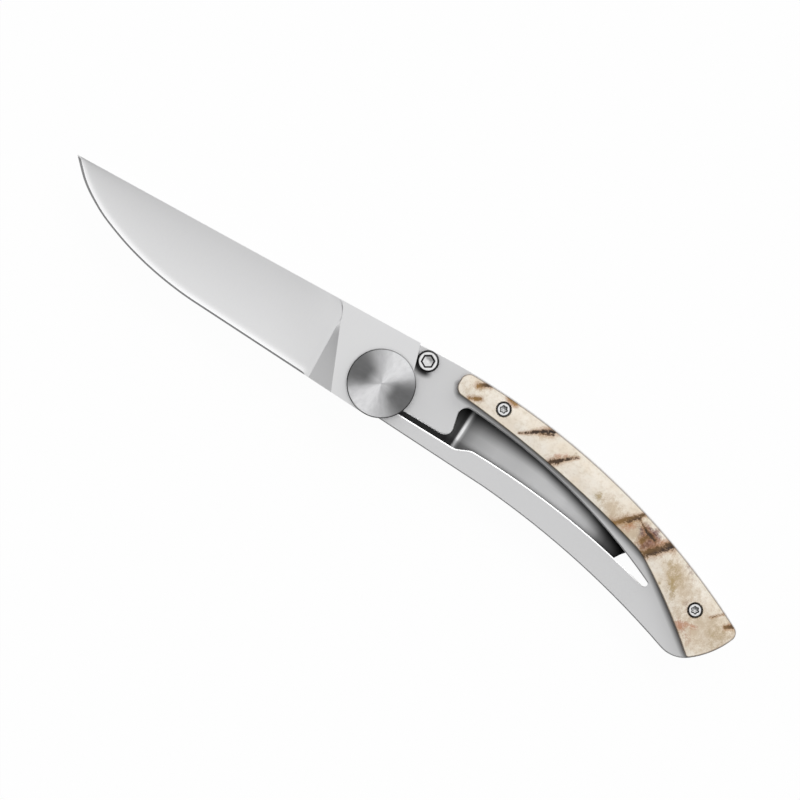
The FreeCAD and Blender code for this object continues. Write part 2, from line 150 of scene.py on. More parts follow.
def inset(plan, distances):
    """The outline with each side moved inwards: sharp corners go where their sides then meet, gentle
    ones by the mean of their sides' moves, or not at all where one of the sides stays."""
    side = np.roll(plan, -1, axis=0) - plan
    normal = np.c_[-side[:, 1], side[:, 0]] / np.linalg.norm(side, axis=1)[:, None]
    before, reach = np.roll(normal, 1, axis=0), np.roll(distances, 1)
    turn = before[:, 0] * normal[:, 1] - before[:, 1] * normal[:, 0]
    gentle = np.abs(turn) < gentle_turn
    moved = np.where((reach > 0) & (distances > 0), (reach + distances) / 2, 0.0)
    open_angle = np.maximum(1 + (before * normal).sum(axis=1), gentle_turn)
    mean = (before + normal) * (moved / open_angle)[:, None]
    sharp = (reach[:, None] * normal - distances[:, None] * before) / np.where(gentle, 1.0, turn)[:, None]
    return plan + np.where(gentle[:, None], mean, np.c_[sharp[:, 1], -sharp[:, 0]])


def set_to_root(plan):
    """The outline with its two corners at the line across the lock bar's root set on that line, and
    which of its points these are."""
    flex = joints["lock_bar_flex"]
    middle, axis = np.array(flex["pos_m"])[:2] / mm, np.array(flex["axis"])[:2]
    along = (plan - middle) @ axis
    foot = middle + along[:, None] * axis
    near = (np.linalg.norm(plan - foot, axis=1) < root_reach) & (np.abs(along) < root_half_length)
    rooted = near & np.isin(along, (along[near].min(), along[near].max()))
    kept = rooted | ~near
    return np.where(rooted[:, None], foot, plan)[kept], rooted[kept]


def stacked(rings, capped=True):
    """Closed rings of equally many points, joined by bands of quads; if capped, the ends are filled."""
    index = np.arange(len(rings) * len(rings[0])).reshape(len(rings), -1)
    ahead = np.roll(index, -1, axis=1)
    bands = np.stack((index[:-1], ahead[:-1], ahead[1:], index[1:]), axis=-1).reshape(-1, 4)
    return np.concatenate(rings), [bands, index[:1, ::-1], index[-1:]] if capped else [bands]


def dubbed_plate(plan, rooted, back_width, belly_width):
    """The plate over an outline: rings inset as the edge profile says, but not across the root."""
    side = np.roll(plan, -1, axis=0) - plan
    facing = side[:, 1] * picture_up[0] - side[:, 0] * picture_up[1]
    slot_end = max(plan[rooted], key=lambda point: point[1])
    run_out = eased(np.linalg.norm(plan - slot_end, axis=1), 0.0, edge_run_out)
    width = np.where(facing > 0, back_width, belly_width) * run_out
    width[rooted & np.roll(rooted, -1)] = 0.0
    profile = zip(edge_insets, edge_levels)
    return stacked([np.c_[inset(plan, width * share), np.full(len(plan), z)] for share, z in profile])


def made(name, blocks, finish, slot):
    """A closed piece from blocks of points and faces, welded where they meet, its faces turned outwards."""
    starts = np.cumsum([0] + [len(points) for points, _ in blocks])
    faces = []
    for start, (_, parts) in zip(starts, blocks):
        for part in parts:
            faces.extend((part + start).tolist())
    mesh = bpy.data.meshes.new(name)
    mesh.from_pydata(np.concatenate([points for points, _ in blocks]) * mm, [], faces)
    welded = bmesh.new()
    welded.from_mesh(mesh)
    bmesh.ops.remove_doubles(welded, verts=welded.verts, dist=weld_gap * mm)
    bmesh.ops.dissolve_degenerate(welded, edges=welded.edges, dist=sliver * mm)
    bmesh.ops.recalc_face_normals(welded, faces=welded.faces)
    welded.to_mesh(mesh)
    welded.free()
    mesh.materials.append(finish)
    piece = bpy.data.objects.new(name, mesh)
    bpy.context.collection.objects.link(piece)
    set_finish(piece, slot)
    return piece


def softened(piece, turn):
    """Smooth shading, with every edge that turns more than the given angle kept crisp."""
    piece.data.shade_smooth()
    piece.data.set_sharp_from_angle(angle=turn)


def bores(holes):
    """Upright cylinders, one for each hole's centre, radius, bottom and top."""
    turn = np.linspace(0.0, 2 * math.pi, hole_sides, endpoint=False)
    ring = np.c_[np.cos(turn), np.sin(turn)]
    return [
        stacked([np.c_[ring * radius + middle, np.full(hole_sides, level)] for level in levels])
        for middle, radius, *levels in holes
    ]


def drilled(piece, holes):
    """The piece with round holes cut through it."""
    cutter = made("cutter", bores(holes), piece.data.materials[0], piece["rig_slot"])
    cut = piece.modifiers.new("holes", "BOOLEAN")
    cut.object = cutter
    cut.solver = "EXACT"
    graph = bpy.context.evaluated_depsgraph_get()
    mesh = bpy.data.meshes.new_from_object(piece.evaluated_get(graph), depsgraph=graph)
    piece.modifiers.clear()
    piece.data = mesh
    mesh.name = piece.name
    bpy.data.objects.remove(cutter)


def centre(name):
    """The plan centre of a CAD node, in millimetres."""
    low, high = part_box(name)
    return tuple((np.array(low) + np.array(high))[:2] / 2 / mm)


def set_term(socket, term):
    """Feeds a socket from a value of its node tree, or with a plain one."""
    if isinstance(term, Value):
        term.tree.links.new(term.socket, socket)
    else:
        socket.default_value = term


def feed(node, terms):
    """Feeds a node's sockets by their names."""
    for name, term in terms.items():
        set_term(node.inputs[name], term)


class Value:
    """A node's output that takes part in formulas: each operator adds the node that works it out."""

    def __init__(self, socket):
        self.socket = socket
        self.tree = socket.id_data

    def worked(self, kind, operation, terms):
        """The node for one step of arithmetic on this value and other terms."""
        node = self.tree.nodes.new(kind)
        node.operation = operation
        for socket, term in zip(node.inputs, (self, *terms)):
            set_term(socket, term)
        return node

    def number(self, operation, *terms):
        """A number worked out from this one."""
        return Value(self.worked("ShaderNodeMath", operation, terms).outputs[0])

    def vector(self, operation, *terms):
        """A vector, or its length or share along another, worked out from this one."""
        outputs = self.worked("ShaderNodeVectorMath", operation, terms).outputs
        return Value(outputs["Value" if operation in ("DOT_PRODUCT", "LENGTH") else "Vector"])

    def __add__(self, other):
        return self.number("ADD", other)

    def __sub__(self, other):
        return self.number("SUBTRACT", other)

    def __rsub__(self, other):
        return self.number("MULTIPLY_ADD", -1.0, other)

    def __mul__(self, other):
        return self.number("MULTIPLY", other)

    def scaled(self, factor):
        """A colour or vector times a number."""
        node = self.worked("ShaderNodeVectorMath", "SCALE", ())
        set_term(node.inputs["Scale"], factor)
        return Value(node.outputs["Vector"])

    def step(self, low, high):
        """A smooth step from 0 at low to 1 at high."""
        node = self.tree.nodes.new("ShaderNodeMapRange")
        node.interpolation_type = "SMOOTHSTEP"
        feed(node, {"Value": self, "From Min": low, "From Max": high})
        return Value(node.outputs["Result"])


def place(tree):
    """The place on a piece, in the piece's own metres."""
    return Value(tree.nodes.new("ShaderNodeTexCoord").outputs["Object"])


def plan_arm(tree, x=0.0, y=0.0):
    """The plan place, measured from a point given in millimetres."""
    flat = place(tree).vector("MULTIPLY", (1.0, 1.0, 0.0))
    return flat.vector("SUBTRACT", (x * mm, y * mm, 0.0))


def noise_at(where, detail):
    """Soft noise, one unit from lump to lump."""
    node = where.tree.nodes.new("ShaderNodeTexNoise")
    feed(node, {"Vector": where, "Scale": 1.0, "Detail": detail})
    return Value(node.outputs["Fac"])


def noise(tree, scale, detail):
    """Soft noise in the piece's own place; the scale is per metre along each axis."""
    return noise_at(place(tree).vector("MULTIPLY", scale), detail)


def new_group(name, inputs, outputs):
    """A shader node group with the given sockets, its inputs as values, and its last node."""
    group = bpy.data.node_groups.new(name, "ShaderNodeTree")
    for side, sockets in (("INPUT", inputs), ("OUTPUT", outputs)):
        for label, kind in sockets.items():
            group.interface.new_socket(label, in_out=side, socket_type="NodeSocket" + kind)
    start = group.nodes.new("NodeGroupInput").outputs
    return group, {label: Value(start[label]) for label in inputs}, group.nodes.new("NodeGroupOutput")


def grouped(tree, group, terms):
    """A node group placed in a tree with its own values, and its outputs in order."""
    node = tree.nodes.new("ShaderNodeGroup")
    node.node_tree = group
    feed(node, terms)
    return [Value(socket) for socket in node.outputs]


def steel_grain_group():
    """Fine grain stretched along the rubbing, over broad faint clouds, that vary tone and roughness."""
    group, given, end = new_group(
        "steel_grain",
        {"Tone": "Color", "Roughness": "Float", "Grain": "Vector", "Contrast": "Float"},
        {"Colour": "Color", "Roughness": "Float", "Height": "Float"},
    )
    grain = noise(group, given["Grain"], detail=3.0)
    swing = (grain + noise(group, cloud_grain, detail=2.0) - 1.0) * given["Contrast"]
    colour = given["Tone"].scaled(swing + 1.0)
    feed(end, {"Colour": colour, "Roughness": given["Roughness"] + swing, "Height": grain})
    return group


steel_grain = steel_grain_group()


def new_material(name):
    """An empty material, its node tree and its shader."""
    material = bpy.data.materials.new(name)
    material.use_nodes = True
    return material, material.node_tree, material.node_tree.nodes["Principled BSDF"]


def bumped(height, depth):
    """The surface's direction over fine relief of a depth in metres."""
    node = height.tree.nodes.new("ShaderNodeBump")
    feed(node, {"Strength": 1.0, "Distance": depth, "Height": height})
    return Value(node.outputs["Normal"])


def steel(name, tone, roughness, grain=blasted_grain, contrast=0.05, relief=0.0005, shade=None, polish=None):
    """A metal with the steel_grain group's grain, its relief in millimetres. Where given, shade adds the
    nodes that scale its tone, and polish those that lessen its roughness."""
    material, tree, shader = new_material(name)
    terms = {"Tone": (*tone, 1.0), "Roughness": roughness, "Grain": grain, "Contrast": contrast}
    colour, rough, height = grouped(tree, steel_grain, terms)
    terms = {
        "Metallic": 1.0,
        "Base Color": colour.scaled(shade(tree)) if shade else colour,
        "Roughness": rough - polish(tree) if polish else rough,
        "Normal": bumped(height, relief * mm),
    }
    feed(shader, terms)
    return material


def between(values, points):
    """Values read off straight lines between points."""
    return np.interp(values, *zip(*points))


def circle_through(points):
    """The centre and the radius of the circle through three points."""
    first = np.array(points[0])
    arms = np.array(points[1:]) - first
    middle = np.linalg.solve(2 * arms, (arms ** 2).sum(axis=1))
    return first + middle, np.linalg.norm(middle)


def on_front(tree):
    """1 on the plate's front face, 0 below its skin."""
    return place(tree).vector("DOT_PRODUCT", (0.0, 0.0, 1.0)).step(*front_skin)


def stop_pocket_painted_shadow(tree):
    """Painted shadow: the plate darkened in the pocket between the stop screw's head and the disc."""
    arm = plan_arm(tree, *centre("stop_screw"))
    side = arm.vector("NORMALIZE").vector("DOT_PRODUCT", pocket_side).step(*pocket_spread)
    near = 1.0 - arm.vector("LENGTH").step(*pocket_reach)
    return 1.0 - near * on_front(tree) * side * pocket_loss


def beyond(tree, start, end):
    """How far to the right of a line a plan place lies."""
    run = np.subtract(end, start)
    square = run[::-1] * (1, -1) / np.linalg.norm(run)
    return plan_arm(tree, *start).vector("DOT_PRODUCT", (*square, 0.0))


def horn_painted_shadow(tree):
    """Painted shadow of the horn on the plate: darkest beside the horn and brighter with the distance.
    Distances below the horn's arch or tail edge, whichever is less, and ahead of its nose add up by
    Pythagoras; high above the arch the plate is bright again."""
    lower = horn_plan[: horn_tail + 1]
    arch, tail = ([(x, between(x, lower)) for x in run] for run in (arch_stations, tail_stations))
    middle, radius = circle_through(arch)
    above = plan_arm(tree, *middle).vector("LENGTH") - radius * mm
    under = (above * -1.0).number("MINIMUM", beyond(tree, *tail)).number("MAXIMUM", 0.0)
    ahead = beyond(tree, *nose_edge[::-1]).number("MAXIMUM", 0.0)
    away = (under * under + ahead * ahead).number("SQRT") + above.step(*nose_fade) * (shadow_reach * mm)
    lost = 1.0 - (away * (shadow_rise / mm) + shadow_floor_tone).number("MINIMUM", 1.0)
    return stop_pocket_painted_shadow(tree) * (1.0 - lost * on_front(tree))


horn_plan = outline(*cad_triangles("horn_scale"), plate_front)
horn_plan = np.roll(horn_plan, -np.argmin(horn_plan[:, 0]), axis=0)
horn_tail = np.argmin(horn_plan[:, 1])
# Painted shadow: the satin frame's tone is darkened beside the horn and in the stop screw's pocket.
satin_frame = steel(
    "satin_frame", frame_tone, roughness=0.42, contrast=0.06, relief=0.001, shade=horn_painted_shadow
)
frame_plan, frame_rooted = set_to_root(outline(*cad_triangles("handle_frame"), plate_back))
frame_body = dubbed_plate(frame_plan, frame_rooted, back_edge_width, belly_edge_width)
handle_plate = made("handle_plate", [frame_body], satin_frame, "frame_steel")
scale_screws = ("front_scale_screw", "rear_scale_screw")
clip_screws = ("upper_clip_screw", "lower_clip_screw")
through = (plate_back - cutter_spare, plate_front + cutter_spare)
part_way = (plate_back - cutter_spare, plate_back + clip_hole_depth)
frame_holes = [
    (centre("pivot_disc"), pivot_hole, *through),
    (centre("stop_screw"), stop_hole, *through),
    *((centre(name), thin_hole, *through) for name in scale_screws),
    *((centre(name), thin_hole, *part_way) for name in clip_screws),
]
drilled(handle_plate, frame_holes)
softened(handle_plate, crisp_turn)
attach(handle_plate, "handle")
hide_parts("handle_frame")

# Lock bar.
# The lower limb of the same plate, left standing as a spring by the long slot and the window. Open,
# it is sprung forward so that its tip stands behind the blade; it bends just ahead of its root.
bend_length = 16.0
bar_edge_width = 0.25
fillet_steps = 7


def turned_about(points, pivot, axis, angle):
    """Points swung about an axis through a pivot, each by its own angle, by Rodrigues' formula."""
    arm = points - pivot
    cos, sin = np.cos(angle)[:, None], np.sin(angle)[:, None]
    return pivot + arm * cos + np.cross(axis, arm) * sin + axis * (arm @ axis)[:, None] * (1 - cos)


def root_fillet(plan, rooted):
    """The bar's inner corner at the root filled out to the frame's, along a curve that touches both edges."""
    corner = max(np.flatnonzero(rooted), key=lambda point: plan[point, 1])
    plan = np.roll(plan, -corner, axis=0)
    rooted = np.roll(rooted, -corner)
    meet = max(frame_plan[frame_rooted], key=lambda point: point[1])
    reach = np.linalg.norm(meet - plan[0])
    on_edge = plan[0] + (plan[1] - plan[0]) / np.linalg.norm(plan[1] - plan[0]) * reach
    share = np.linspace(0.0, 1.0, fillet_steps)[:, None]
    curve = (1 - share) ** 2 * meet + 2 * share * (1 - share) * plan[0] + share ** 2 * on_edge
    return np.vstack((curve, plan[1:])), np.append(np.arange(fillet_steps) == 0, rooted[1:])


flex_pivot = np.array(joints["lock_bar_flex"]["pos_m"]) / mm
flex_axis = np.array(joints["lock_bar_flex"]["axis"])
flex_axis = flex_axis / np.linalg.norm(flex_axis)
flex_angle = math.radians(joints["lock_bar_flex"]["range_deg"][1])
towards_tip = np.cross(flex_axis, (0.0, 0.0, 1.0))
towards_tip = towards_tip * -np.sign(towards_tip[0])
sprung_points, bar_triangles = cad_triangles("lock_bar")
flat_points = turned_about(sprung_points, flex_pivot, flex_axis, np.full(len(sprung_points), flex_angle))
bar_plan, bar_rooted = set_to_root(outline(flat_points, bar_triangles, plate_back))
bar_plan, bar_rooted = root_fillet(bar_plan, bar_rooted)
bar_points, bar_faces = dubbed_plate(bar_plan, bar_rooted, bar_edge_width, belly_edge_width)
bent_share = eased((bar_points - flex_pivot) @ towards_tip, 0.0, bend_length)
bar_points = turned_about(bar_points, flex_pivot, flex_axis, -flex_angle * bent_share)
lock_spring = made("lock_spring", [(bar_points, bar_faces)], satin_frame, "frame_steel")
softened(lock_spring, crisp_turn)
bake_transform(lock_spring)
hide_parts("lock_bar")

# Pocket clip.
# A strip of spring steel, bent to a low step and a nip, and screwed to the back of the frame. It is
# brushed along its length. Its front carries painted light: a highlight along the bend, and painted
# shade on the step, under the limbs and at the free end.
clip_half = 0.5
clip_start = 7.04
clip_upper = ((19.62, 7.20), (48.0, 3.13), (74.2, -4.85))
clip_lower = ((19.62, -5.60), (48.0, -7.30), (70.84, -11.05))
clip_stations = ((clip_start, 1.7), (19.62, 1.7), (22.3, 0.5), (53.3, 0.5), (64.0, 1.35), (75.2, 0.45))
clip_bend = 0.9
clip_bend_steps = 9
clip_corner = 1.4
clip_grid = (320, 24)
clip_hole = 1.1
clip_tone = (0.75, 0.75, 0.755)
brushed_along = (300.0, 9000.0, 9000.0)
window_edge = ((19.53, 5.23), (50.0, 0.24), (81.3, -11.65))
bar_edge = ((27.3, -3.86), (54.0, -6.61), (80.8, -12.98))
step_foot = (22.95, -1.2)
step_lean = 0.08
front_sheen = 0.75
back_sheen = 0.8
# Each shade: a distance and how bright the painted light on the strip is there
step_shades = (
    (-1.2, 0.12), (-0.55, 0.16), (-0.1, 2.0), (0.2, 2.0), (0.6, 0.75), (1.2, 0.42), (4.3, 0.73), (10.0, 1.0),
    (16.0, 1.0), (23.0, 1.12),
)
limb_widths = ((24.0, 5.0), (32.0, 4.2), (45.0, 2.5), (58.0, 2.9))
limb_shades = ((0.0, 0.07), (0.16, 0.10), (0.4, 0.33), (0.64, 0.63), (1.0, 1.0))
bar_shades = ((0.0, 0.40), (0.4, 0.62), (0.8, 0.85), (1.4, 1.0))
end_shades = (
    (56.4, 1.0), (60.6, 0.9), (62.8, 0.65), (64.8, 0.35), (66.8, 0.18), (68.8, 0.12), (71.3, 0.03),
)


def arc_height(points, x):
    """The height at x of the circle through three points, level before the first of them."""
    (middle_x, middle_y), radius = circle_through(points)
    side = np.sign(points[1][1] - middle_y)
    return middle_y + side * np.sqrt(radius ** 2 - (np.maximum(x, points[0][0]) - middle_x) ** 2)


def slab(plan, front, back, sides):
    """Front and back heights over one grid of plan points, with upright walls along the named sides."""
    index = np.arange(front.size).reshape(front.shape)
    points = np.concatenate([np.dstack((plan, height)).reshape(-1, 3) for height in (front, back)])
    quads = np.stack((index[:-1, :-1], index[1:, :-1], index[1:, 1:], index[:-1, 1:]), axis=-1).reshape(-1, 4)
    rims = {"low": index[:, 0], "far": index[-1], "high": index[::-1, -1], "near": index[0, ::-1]}
    faces = [quads, quads[:, ::-1] + front.size]
    for side in sides:
        rim = rims[side]
        deep = rim + front.size
        faces.append(np.stack((rim[:-1], deep[:-1], deep[1:], rim[1:]), axis=1))
    return points, faces


def painted(piece, name, values, domain="POINT"):
    """One number for each point or face of a piece, kept for its material to read."""
    layer = piece.data.attributes.new(name, "FLOAT", domain)
    layer.data.foreach_set("value", np.asarray(values, np.float32))


def places(piece):
    """A piece's own points in millimetres."""
    return read_out(piece.data.vertices, "co").astype(float) / mm


def attribute(tree, name):
    """The number painted on a piece under a name."""
    node = tree.nodes.new("ShaderNodeAttribute")
    node.attribute_name = name
    return Value(node.outputs["Fac"])


def bunched(count):
    """Shares from 0 to 1 that lie closer at both ends, as the height of a point on a turning wheel."""
    return (1 - np.cos(np.linspace(0.0, math.pi, count))) / 2


def clip_level(x):
    """The height of the strip's middle at x: straight between the stations, averaged over a bend."""
    spread = np.linspace(-clip_bend, clip_bend, clip_bend_steps)
    return np.mean([between(x + step, clip_stations) for step in spread], axis=0)


def clip_strip():
    """Rows across and columns along the strip, between two arched edges, with its ends' corners rounded."""
    along = (bunched(clip_grid[0]) + 2 * np.linspace(0.0, 1.0, clip_grid[0])) / 3
    u, v = np.meshgrid(along, bunched(clip_grid[1]), indexing="ij")
    reach = clip_lower[2][0] + (clip_upper[2][0] - clip_lower[2][0]) * v
    x = clip_start + (reach - clip_start) * u
    to_end = np.minimum(x - clip_start, reach - x)
    short = np.clip(clip_corner - to_end, 0.0, clip_corner)
    tuck = clip_corner - np.sqrt(clip_corner ** 2 - short ** 2)
    low = arc_height(clip_lower, x) + tuck
    high = arc_height(clip_upper, x) - tuck
    plan = np.dstack((x, low + (high - low) * v))
    return slab(plan, clip_level(x) + clip_half, clip_level(x) - clip_half, ("low", "far", "high", "near"))


def clip_painted_light(points):
    """Painted light and shade on the strip's front: brightest along its bend as a painted highlight,
    darkest on its step, and shaded by the limbs and at its end. The shades by each of these multiply."""
    x, y, z = points.T
    step = between(x - step_foot[0] - step_lean * (y - step_foot[1]), step_shades)
    limb = between((arc_height(window_edge, x) - y) / between(x, limb_widths), limb_shades)
    bar = between(y - arc_height(bar_edge, x), bar_shades)
    front = front_sheen * step * limb * bar * between(x, end_shades)
    return np.where(z > clip_level(x), front, back_sheen)


# Painted light: the brushed strip's tone takes the painted highlight and shade from its points.
brushed_spring = steel(
    "brushed_spring",
    clip_tone,
    roughness=0.36,
    grain=brushed_along,
    contrast=0.10,
    relief=0.001,
    shade=lambda tree: attribute(tree, "clip_painted_light"),
)
pocket_clip = made("pocket_clip", [clip_strip()], brushed_spring, "spring_steel")
drilled(pocket_clip, [(centre(name), clip_hole, 0.0, plate_back + cutter_spare) for name in clip_screws])
softened(pocket_clip, crisp_turn)
# Paints the strip's highlight and shade onto its points.
painted(pocket_clip, "clip_painted_light", clip_painted_light(places(pocket_clip)))
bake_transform(pocket_clip)
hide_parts("clip_pad", "clip_arm")

# Horn scale.
# A slab of ram's horn on the back limb, sawn to the limb's arch, its edges rounded over and its face
# polished. The growth of the horn shows as dark ragged grooves and as brown and olive stains.
horn_front = 8.0
horn_round = 0.3
horn_dome = 0.14
dome_reach = 3.0
dome_wave = 0.35
wave_lengths = (2.9, 4.1)
horn_grid = (260, 48)
groove_depth = 0.12
groove_flank = (-0.2, 0.8)
groove_run_out = 0.5
counterbore = 2.0
counterbore_floor = 6.55
counterbore_lap = 0.05
scale_hole = 1.1
horn_turn = math.radians(40.0)
rim_shade_band = (0.08, 0.34)
blot_fade = 0.9
far_from_streak = -3.0
# Each streak: its two ends, its half width at each end, and its darkness at each end
horn_streaks = [
    ((21.0, 11.0), (23.9, 12.5), 0.65, 0.55, 0.15, 0.95),
    ((20.5, 7.2), (23.2, 8.3), 0.50, 0.45, 0.15, 0.20),
    ((29.2, 11.9), (31.4, 11.3), 0.60, 0.55, 0.25, 0.05),
    ((35.4, 5.5), (42.8, 10.2), 0.25, 0.90, 0.70, 1.00),
    ((40.0, 8.0), (42.7, 9.1), 0.25, 0.60, 0.40, 0.80),
    ((45.4, 2.9), (50.9, 7.2), 0.80, 0.35, 0.70, 0.85),
    ((66.3, -2.5), (71.9, 2.9), 0.90, 0.45, 0.15, 0.55),
    ((68.6, -1.2), (71.4, 1.6), 0.40, 0.45, 0.55, 0.80),
    ((75.9, -6.0), (81.7, 0.0), 1.15, 1.20, 0.35, 0.70),
    ((76.3, -6.6), (81.9, -0.6), 0.45, 0.55, 0.70, 1.00),
    ((71.7, 1.1), (74.4, -0.6), 0.30, 0.45, 0.50, 0.80),
    ((74.4, -0.6), (77.2, -1.5), 0.60, 0.45, 0.80, 0.70),
    ((75.3, -1.3), (74.1, -3.6), 0.55, 0.70, 0.50, 0.20),
    ((98.0, -11.5), (100.6, -9.2), 0.28, 0.25, 0.45, 0.35),
    ((102.3, -12.0), (104.3, -10.6), 0.50, 0.55, 0.35, 0.60),
]
# Each stain: its centre, its half length and half width, its lean in degrees, and its strength
horn_stains = {
    "tan": [
        ((20.0, 9.3), (7.0, 4.0), 0, 0.40),
        ((40.5, 7.3), (2.5, 1.5), 32, 0.45),
        ((63.5, 0.6), (4.5, 2.6), -35, 0.85),
        ((69.6, -2.4), (2.6, 1.8), 45, 1.00),
        ((73.4, -1.5), (4.6, 4.0), -30, 1.00),
        ((85.4, -6.0), (5.0, 3.0), -35, 0.90),
        ((92.0, -13.0), (8.0, 6.0), -50, 0.62),
        ((101.0, -15.0), (6.0, 6.0), 0, 0.80),
    ],
    "olive": [
        ((59.9, 1.2), (1.4, 1.3), 0, 0.85),
        ((69.2, -0.8), (2.8, 1.0), 45, 0.80),
        ((85.6, -6.2), (4.2, 2.0), -35, 0.60),
        ((86.3, -9.6), (2.2, 0.8), -55, 0.95),
        ((83.2, -10.0), (0.5, 0.4), 0, 1.00),
        ((101.5, -14.5), (4.0, 4.5), 0, 0.40),
        ((50.0, 7.3), (1.4, 0.8), 40, 0.60),
        ((22.0, 11.0), (1.4, 1.1), 20, 0.60),
        ((22.0, 7.6), (1.6, 0.8), 20, 0.45),
    ],
    "rust": [
        ((47.2, 5.4), (2.6, 0.9), 38, 0.70),
        ((41.5, 10.0), (2.6, 1.0), 20, 0.55),
        ((30.4, 11.3), (1.7, 1.1), 0, 0.75),
        ((78.4, -2.4), (4.6, 1.8), 45, 1.00),
        ((69.8, -1.6), (2.6, 1.3), 45, 0.70),
        ((92.2, -16.5), (1.3, 1.1), 0, 1.00),
        ((95.4, -15.4), (1.8, 0.6), 10, 0.75),
        ((95.2, -18.4), (3.0, 2.0), -50, 0.35),
        ((103.2, -11.2), (1.6, 1.0), 40, 0.60),
    ],
    "plum": [
        ((74.6, -0.6), (3.2, 1.5), -20, 0.90),
        ((75.6, -3.6), (2.6, 2.0), 0, 0.85),
        ((77.0, 0.2), (2.0, 1.6), -40, 0.45),
        ((88.0, -3.6), (2.6, 1.2), -45, 0.40),
        ((92.5, -12.0), (3.0, 2.4), -50, 0.40),
    ],
}


def linear(*colour):
    """A colour as seen on a screen, 0 to 255, as the amounts of light that the shader takes."""
    share = np.array(colour) / 255
    return (*np.where(share > 0.04045, ((share + 0.055) / 1.055) ** 2.4, share / 12.92), 1.0)


pale_horn = linear(251, 243, 230)
cream_horn = linear(245, 232, 213)
fibre_tan = linear(226, 212, 190)
speck_tan = linear(224, 208, 188)
fleck_plum = linear(78, 38, 44)
fringe_brown = linear(172, 126, 80)
faint_ink = linear(170, 130, 72)
full_ink = linear(92, 58, 32)
core_black = linear(28, 19, 14)
rim_shade_brown = linear(92, 72, 52)
# Each stain's hue and its share
horn_hues = {
    "tan": (linear(206, 184, 154), 0.80),
    "olive": (linear(168, 140, 82), 0.75),
    "rust": (linear(186, 112, 70), 0.72),
    "plum": (linear(128, 84, 82), 0.80),
}
# The horn's grain, per metre, and the levels of it between which a hue sets in
horn_clouds, cloud_step = (160.0,) * 3, (0.35, 0.70)
horn_fibres, fibre_step = (700.0, 900.0, 900.0), (0.45, 0.90)
horn_specks, speck_step = (1700.0,) * 3, (0.5, 0.8)
horn_flecks, fleck_step = (1500.0, 1800.0, 1800.0), (0.47, 0.57)
edge_fibres, edge_specks = (900.0, 700.0, 700.0), (3200.0,) * 3
flecked_plum = (0.30, 0.85)
speck_share = 0.5
fleck_share = 0.85
fringe_share = 0.62
ink_share = 0.92
rim_shade_share = 0.85
# Each ragged edge: how far fibres and specks shift it, its low and high, and its foot
ragged_terms = ("Depth", "Fibres", "Specks", "Low", "High", "Foot")
foot_rise = 0.4
stain_edge = (1.3, 1.0, 0.10, 1.05, 0.02)
streak_edge = (2.0, 1.8, 0.0, 0.6, -0.9)
fringe_edge = (1.5, 1.2, -1.5, 0.5, -2.2)
core_edge = (2.0, 1.8, 0.15, 0.75, -0.5)
horn_roughness = 0.30
groove_roughness = 0.25
fibre_roughness = 0.10
horn_relief = 0.02
groove_relief = 2.0


def along_chain(chain, shares):
    """Points at given shares of a chain's length."""
    length = np.append(0.0, np.cumsum(np.linalg.norm(np.diff(chain, axis=0), axis=1)))
    return np.stack([np.interp(shares * length[-1], length, chain[:, axis]) for axis in (0, 1)], axis=1)


def edge_distance(points, plan):
    """Each point's distance to the nearest side of a closed outline."""
    side = np.roll(plan, -1, axis=0) - plan
    arm = points[:, None] - plan
    share = np.clip((arm * side).sum(axis=2) / (side * side).sum(axis=1), 0.0, 1.0)
    return np.linalg.norm(arm - share[..., None] * side, axis=2).min(axis=1)


def streak_fields(points):
    """How deep each point lies in its nearest streak, 1 on its middle line and 0 at its rim, and how dark
    the streak is there."""
    depths, darks = [], []
    for start, end, wide, thin, dark, darker in horn_streaks:
        run = np.subtract(end, start)
        share = np.clip((points - start) @ run / (run @ run), 0.0, 1.0)
        away = np.linalg.norm(points - start - share[:, None] * run, axis=1)
        depths.append(1 - away / (wide + (thin - wide) * share))
        darks.append(dark + (darker - dark) * share)
    nearest = np.argmax(depths, axis=0)
    pick = np.arange(len(points))
    return np.maximum(np.array(depths)[nearest, pick], far_from_streak), np.array(darks)[nearest, pick]


def stain_field(points, stains):
    """The sum of round-topped blots, each fading with the square of the distance in its own half sizes."""
    total = np.zeros(len(points))
    for middle, (half_length, half_width), lean, strength in stains:
        turn = math.radians(lean)
        arm = points - middle
        along = (arm[:, 0] * math.cos(turn) + arm[:, 1] * math.sin(turn)) / half_length
        across = (arm[:, 1] * math.cos(turn) - arm[:, 0] * math.sin(turn)) / half_width
        total += strength * np.exp(-(along ** 2 + across ** 2) * blot_fade)
    return np.clip(total, 0.0, 1.0)


def horn_slab():
    """Lines ruled across from the lower to the upper edge; the face falls away in a quarter round at the
    rim, swells to a low waved dome and sinks at the streaks."""
    shares = bunched(horn_grid[0])
    lower = along_chain(horn_plan[: horn_tail + 1], shares)
    upper = along_chain(np.vstack((horn_plan[horn_tail:], horn_plan[:1]))[::-1], shares)
    ruled = lower[:, None] + (upper - lower)[:, None] * bunched(horn_grid[1])[:, None]
    flat = ruled.reshape(-1, 2)
    rim = edge_distance(flat, horn_plan)
    fall = np.maximum(horn_round - rim, 0.0)
    worn = horn_round - np.sqrt(np.maximum(horn_round ** 2 - fall ** 2, 0.0))
    wave = np.sin(flat[:, 0] / wave_lengths[0] + flat[:, 1] / wave_lengths[1])
    swell = horn_dome * eased(rim, 0.0, dome_reach) * (1 + dome_wave * wave)
    depth, dark = streak_fields(flat)
    groove = groove_depth * dark * eased(depth, *groove_flank) * eased(rim, 0.0, groove_run_out)
    front = (horn_front - worn + swell - groove).reshape(ruled.shape[:2])
    return slab(ruled, front, np.full_like(front, plate_front), ("low", "high"))


def mixed(share, first, second):
    """Two colours mixed by a share."""
    node = share.tree.nodes.new("ShaderNodeMix")
    node.data_type = "RGBA"
    for socket, term in zip((node.inputs[0], node.inputs[6], node.inputs[7]), (share, first, second)):
        set_term(socket, term)
    return Value(node.outputs[2])


